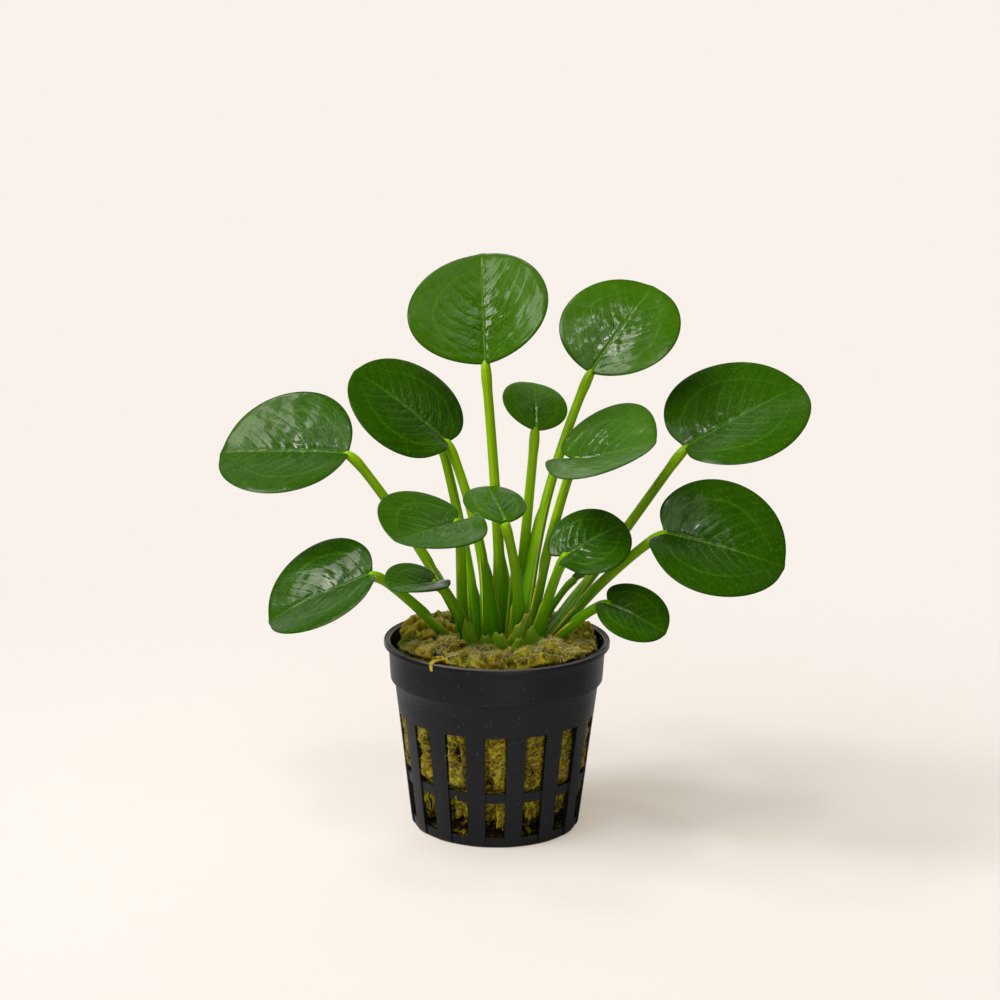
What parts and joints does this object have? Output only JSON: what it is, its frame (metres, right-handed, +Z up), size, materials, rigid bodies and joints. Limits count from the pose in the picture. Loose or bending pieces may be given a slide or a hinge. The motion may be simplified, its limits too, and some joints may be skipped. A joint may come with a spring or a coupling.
{
  "type": "potted anubias plant",
  "caption": "Round-leaved water plant with glossy blades on upright stalks, its creeping stem resting in fibrous wool inside a small slotted net pot that stands on a flat base.",
  "frame": {"origin": "centre of the flat underside of the pot, on the pot's axis", "axes": "+Z up along the pot's axis, -Y towards the front of the plant, +X to its right"},
  "size_m": [0.1461, 0.0724, 0.1414],
  "materials": {
    "pot_plastic": "charcoal black injection-moulded plastic, satin, with fine specks of dust",
    "wool": "damp olive-yellow mineral wool, matted and fibrous, with pale glistening fibres",
    "rhizome_skin": "tan-brown creeping stem with faint rings",
    "leaf_blade": "thick waxy leaf, dark green and glossy above with pressed-in veins, paler and duller below",
    "leaf_stalk": "smooth yellow-green stalk with fine lengthwise streaks, darker at the foot",
    "sheath": "thin green sheaths and scales with yellowish dry edges"
  },
  "bodies": {
    "root": {"net_pot": "pot_plastic", "wool_plug": "wool", "rhizome": "rhizome_skin", "leaf_01_blade": "leaf_blade", "leaf_01_stalk": "leaf_stalk", "leaf_02_blade": "leaf_blade", "leaf_02_stalk": "leaf_stalk", "leaf_03_blade": "leaf_blade", "leaf_03_stalk": "leaf_stalk", "leaf_04_blade": "leaf_blade", "leaf_04_stalk": "leaf_stalk", "leaf_05_blade": "leaf_blade", "leaf_05_stalk": "leaf_stalk", "leaf_06_blade": "leaf_blade", "leaf_06_stalk": "leaf_stalk", "leaf_07_blade": "leaf_blade", "leaf_07_stalk": "leaf_stalk", "leaf_08_blade": "leaf_blade", "leaf_08_stalk": "leaf_stalk", "leaf_09_blade": "leaf_blade", "leaf_09_stalk": "leaf_stalk", "leaf_10_blade": "leaf_blade", "leaf_10_stalk": "leaf_stalk", "leaf_11_blade": "leaf_blade", "leaf_11_stalk": "leaf_stalk", "leaf_12_blade": "leaf_blade", "leaf_12_stalk": "leaf_stalk", "leaf_13_blade": "leaf_blade", "leaf_13_stalk": "leaf_stalk", "leaf_14_blade": "leaf_blade", "leaf_14_stalk": "leaf_stalk", "leaf_15_blade": "leaf_blade", "leaf_15_stalk": "leaf_stalk", "leaf_16_blade": "leaf_blade", "leaf_16_stalk": "leaf_stalk", "rolled_leaf": "sheath", "sheath_left": "sheath", "sheath_middle": "sheath", "sheath_right": "sheath", "scale_1": "sheath", "scale_2": "sheath", "scale_3": "sheath", "scale_4": "sheath"}
  },
  "joints": []
}
